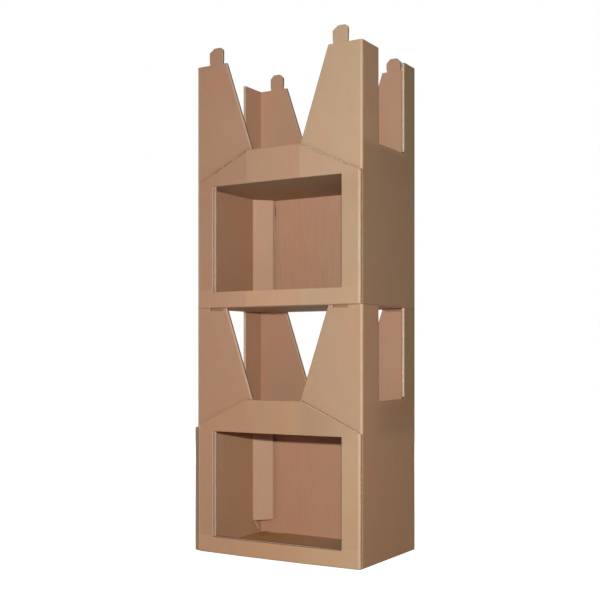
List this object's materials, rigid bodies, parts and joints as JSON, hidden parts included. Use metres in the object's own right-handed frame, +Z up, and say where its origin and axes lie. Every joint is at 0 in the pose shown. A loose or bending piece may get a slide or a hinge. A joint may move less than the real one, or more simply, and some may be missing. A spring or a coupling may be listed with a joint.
{
  "type": "cardboard display stand",
  "caption": "Stackable floor display stand of brown corrugated board: window bays below trays framed by tapered corner posts, with locking tabs on the post tops.",
  "frame": {"origin": "on the floor, at the middle of the bodies' width and of the stand's whole depth", "axes": "+X to the right of the stand seen from its front, +Y to its back, +Z up; the windows face -Y"},
  "size_m": [0.469, 0.301, 1.24],
  "materials": {
    "body_board": "matte",
    "inner_board": "matte"
  },
  "bodies": {
    "root": {"lower_body": "body_board", "lower_liner": "inner_board", "lower_shelf_tray": "inner_board", "lower_floor_panel": "inner_board", "upper_body": "body_board", "upper_liner": "inner_board", "upper_shelf_tray": "inner_board", "upper_floor_panel": "inner_board"}
  },
  "joints": []
}
